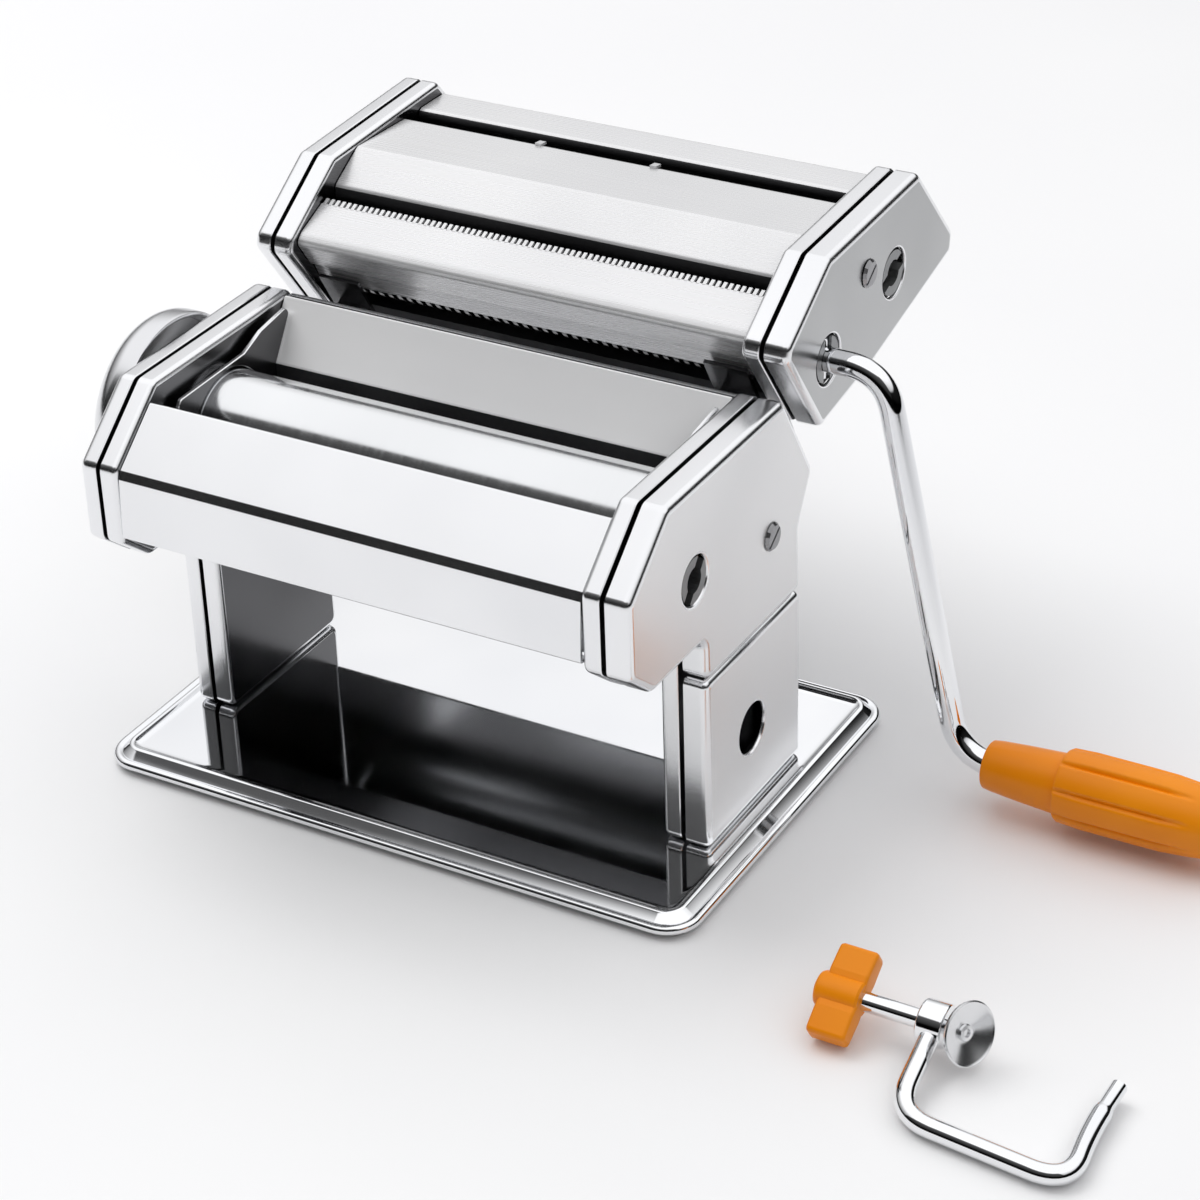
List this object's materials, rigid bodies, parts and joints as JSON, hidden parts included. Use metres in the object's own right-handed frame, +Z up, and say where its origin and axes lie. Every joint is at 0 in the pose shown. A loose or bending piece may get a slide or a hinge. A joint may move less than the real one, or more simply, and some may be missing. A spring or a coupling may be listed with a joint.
{
  "type": "pasta roller machine",
  "caption": "Hand-cranked pasta machine: sheet rollers with a thickness knob on a chrome stand, a lift-off cutter head, a cranked handle and a table clamp.",
  "frame": {"origin": "middle of the base, in the plane that the four feet stand on", "axes": "+X along the rollers towards the crank, -Y the front where the rolled sheet comes out, +Z up"},
  "size_m": [0.3467, 0.2474, 0.163],
  "materials": {
    "chrome": "polished mirror chrome plate",
    "brushed": "satin stainless sheet with fine lines along the rollers",
    "roller_metal": "smooth turned metal",
    "steel": "plain steel",
    "gear_metal": "zinc-plated steel",
    "black_plastic": "black acetal",
    "rubber": "black rubber",
    "orange": "orange moulded plastic, semi-gloss"
  },
  "bodies": {
    "root": {"base_plate": "chrome", "base_underplate": "gear_metal", "foot_front_right": "rubber", "foot_front_left": "rubber", "foot_back_right": "rubber", "foot_back_left": "rubber", "side_frame_right": "chrome", "side_frame_left": "chrome", "head_cover_right": "chrome", "head_cover_left": "chrome", "leg_cover_right": "chrome", "leg_cover_left": "chrome", "roller_bush_right": "black_plastic", "roller_bush_left": "black_plastic", "side_guide_right": "steel", "side_guide_left": "steel", "head_rail_right": "steel", "head_rail_left": "steel", "front_panel": "chrome", "feed_plate": "brushed", "rear_panel": "chrome", "front_tie_bar": "steel", "front_scraper": "steel", "rear_scraper": "steel", "cover_screw_right": "steel"},
    "front_roller_set": {"front_roller": "roller_metal", "front_roller_gear": "gear_metal"},
    "gap_carriage": {"bearing_block_right": "black_plastic", "bearing_block_left": "black_plastic"},
    "rear_roller_set": {"rear_roller": "roller_metal", "rear_roller_gear": "gear_metal"},
    "pinion": {"crank_pinion": "gear_metal"},
    "setting_cam": {"thickness_cam": "gear_metal"},
    "setting_knob": {"thickness_knob": "chrome"},
    "cutter_head": {"cutter_frame_right": "chrome", "cutter_frame_left": "chrome", "cutter_cover_right": "chrome", "cutter_cover_left": "chrome", "cutter_roof": "brushed", "cutter_front_plate": "brushed", "cutter_back_plate": "brushed", "head_hook_right": "steel", "head_hook_left": "steel", "narrow_comb": "brushed", "wide_comb": "brushed", "cutter_cover_screw": "steel"},
    "narrow_driven_set": {"narrow_cutter": "roller_metal", "narrow_drive_gear": "gear_metal"},
    "narrow_mate_set": {"narrow_cutter_mate": "roller_metal", "narrow_mate_gear": "gear_metal"},
    "wide_driven_set": {"wide_cutter": "roller_metal", "wide_drive_gear": "gear_metal"},
    "wide_mate_set": {"wide_cutter_mate": "roller_metal", "wide_mate_gear": "gear_metal"},
    "crank": {"crank_rod": "chrome"},
    "grip": {"crank_grip": "orange"},
    "clamp": {"clamp_frame": "chrome"},
    "pad": {"clamp_pad": "chrome"},
    "screw": {"clamp_screw": "gear_metal", "clamp_knob": "orange"}
  },
  "joints": [
    {"name": "front_roller_turn", "type": "hinge", "parent": "root", "child": "front_roller_set", "pos_m": [0, -0.021, 0.1015], "axis": [1, 0, 0], "continuous": true},
    {"name": "roller_gap", "type": "slide", "parent": "root", "child": "gap_carriage", "axis": [0, -0.7071, 0.7071], "range_m": [0, 0.002]},
    {"name": "rear_roller_turn", "type": "hinge", "parent": "gap_carriage", "child": "rear_roller_set", "pos_m": [0, 0.0053, 0.0752], "axis": [1, 0, 0], "continuous": true},
    {"name": "pinion_turn", "type": "hinge", "parent": "root", "child": "pinion", "pos_m": [0, -0.0354, 0.0989], "axis": [1, 0, 0], "continuous": true},
    {"name": "thickness_turn", "type": "hinge", "parent": "root", "child": "setting_cam", "pos_m": [0, -0.021, 0.1015], "axis": [-1, 0, 0], "range_deg": [0, 288]},
    {"name": "knob_pull", "type": "slide", "parent": "setting_cam", "child": "setting_knob", "axis": [-1, 0, 0], "range_m": [0, 0.004], "stiffness_N_per_m": 300},
    {"name": "head_lift", "type": "slide", "parent": "root", "child": "cutter_head", "axis": [0, -0.5029, 0.8643], "range_m": [0, 0.03]},
    {"name": "narrow_turn", "type": "hinge", "parent": "cutter_head", "child": "narrow_driven_set", "pos_m": [0, 0.0465, 0.129], "axis": [1, 0, 0], "continuous": true},
    {"name": "narrow_mate_turn", "type": "hinge", "parent": "cutter_head", "child": "narrow_mate_set", "pos_m": [0, 0.06572, 0.13282], "axis": [1, 0, 0], "continuous": true},
    {"name": "wide_turn", "type": "hinge", "parent": "cutter_head", "child": "wide_driven_set", "pos_m": [0, 0.0901, 0.1378], "axis": [1, 0, 0], "continuous": true},
    {"name": "wide_mate_turn", "type": "hinge", "parent": "cutter_head", "child": "wide_mate_set", "pos_m": [0, 0.10932, 0.14163], "axis": [1, 0, 0], "continuous": true},
    {"name": "crank_pull", "type": "slide", "parent": "narrow_driven_set", "child": "crank", "axis": [1, 0, 0], "range_m": [0, 0.015]},
    {"name": "grip_spin", "type": "hinge", "parent": "crank", "child": "grip", "pos_m": [0, 0.03643, 0.01394], "axis": [1, 0, 0], "continuous": true},
    {"name": "clamp_lift", "type": "slide", "parent": "root", "child": "clamp", "axis": [0, 0, 1], "range_m": [0, 0.04]},
    {"name": "pad_slide", "type": "slide", "parent": "clamp", "child": "pad", "axis": [1, 0, 0], "range_m": [0, 0.016]},
    {"name": "screw_turn", "type": "hinge", "parent": "pad", "child": "screw", "pos_m": [0, -0.078, 0.0106], "axis": [1, 0, 0], "range_deg": [0, 3840.1]}
  ],
  "couplings": [
    {"joint": "rear_roller_turn", "follows": "front_roller_turn", "ratio": -1},
    {"joint": "pinion_turn", "follows": "front_roller_turn", "ratio": -1},
    {"joint": "roller_gap", "follows": "thickness_turn", "m_per_rad": 0.00039789},
    {"joint": "narrow_mate_turn", "follows": "narrow_turn", "ratio": -1},
    {"joint": "wide_mate_turn", "follows": "wide_turn", "ratio": -1},
    {"joint": "screw_turn", "follows": "pad_slide", "rad_per_m": 4188.8}
  ]
}
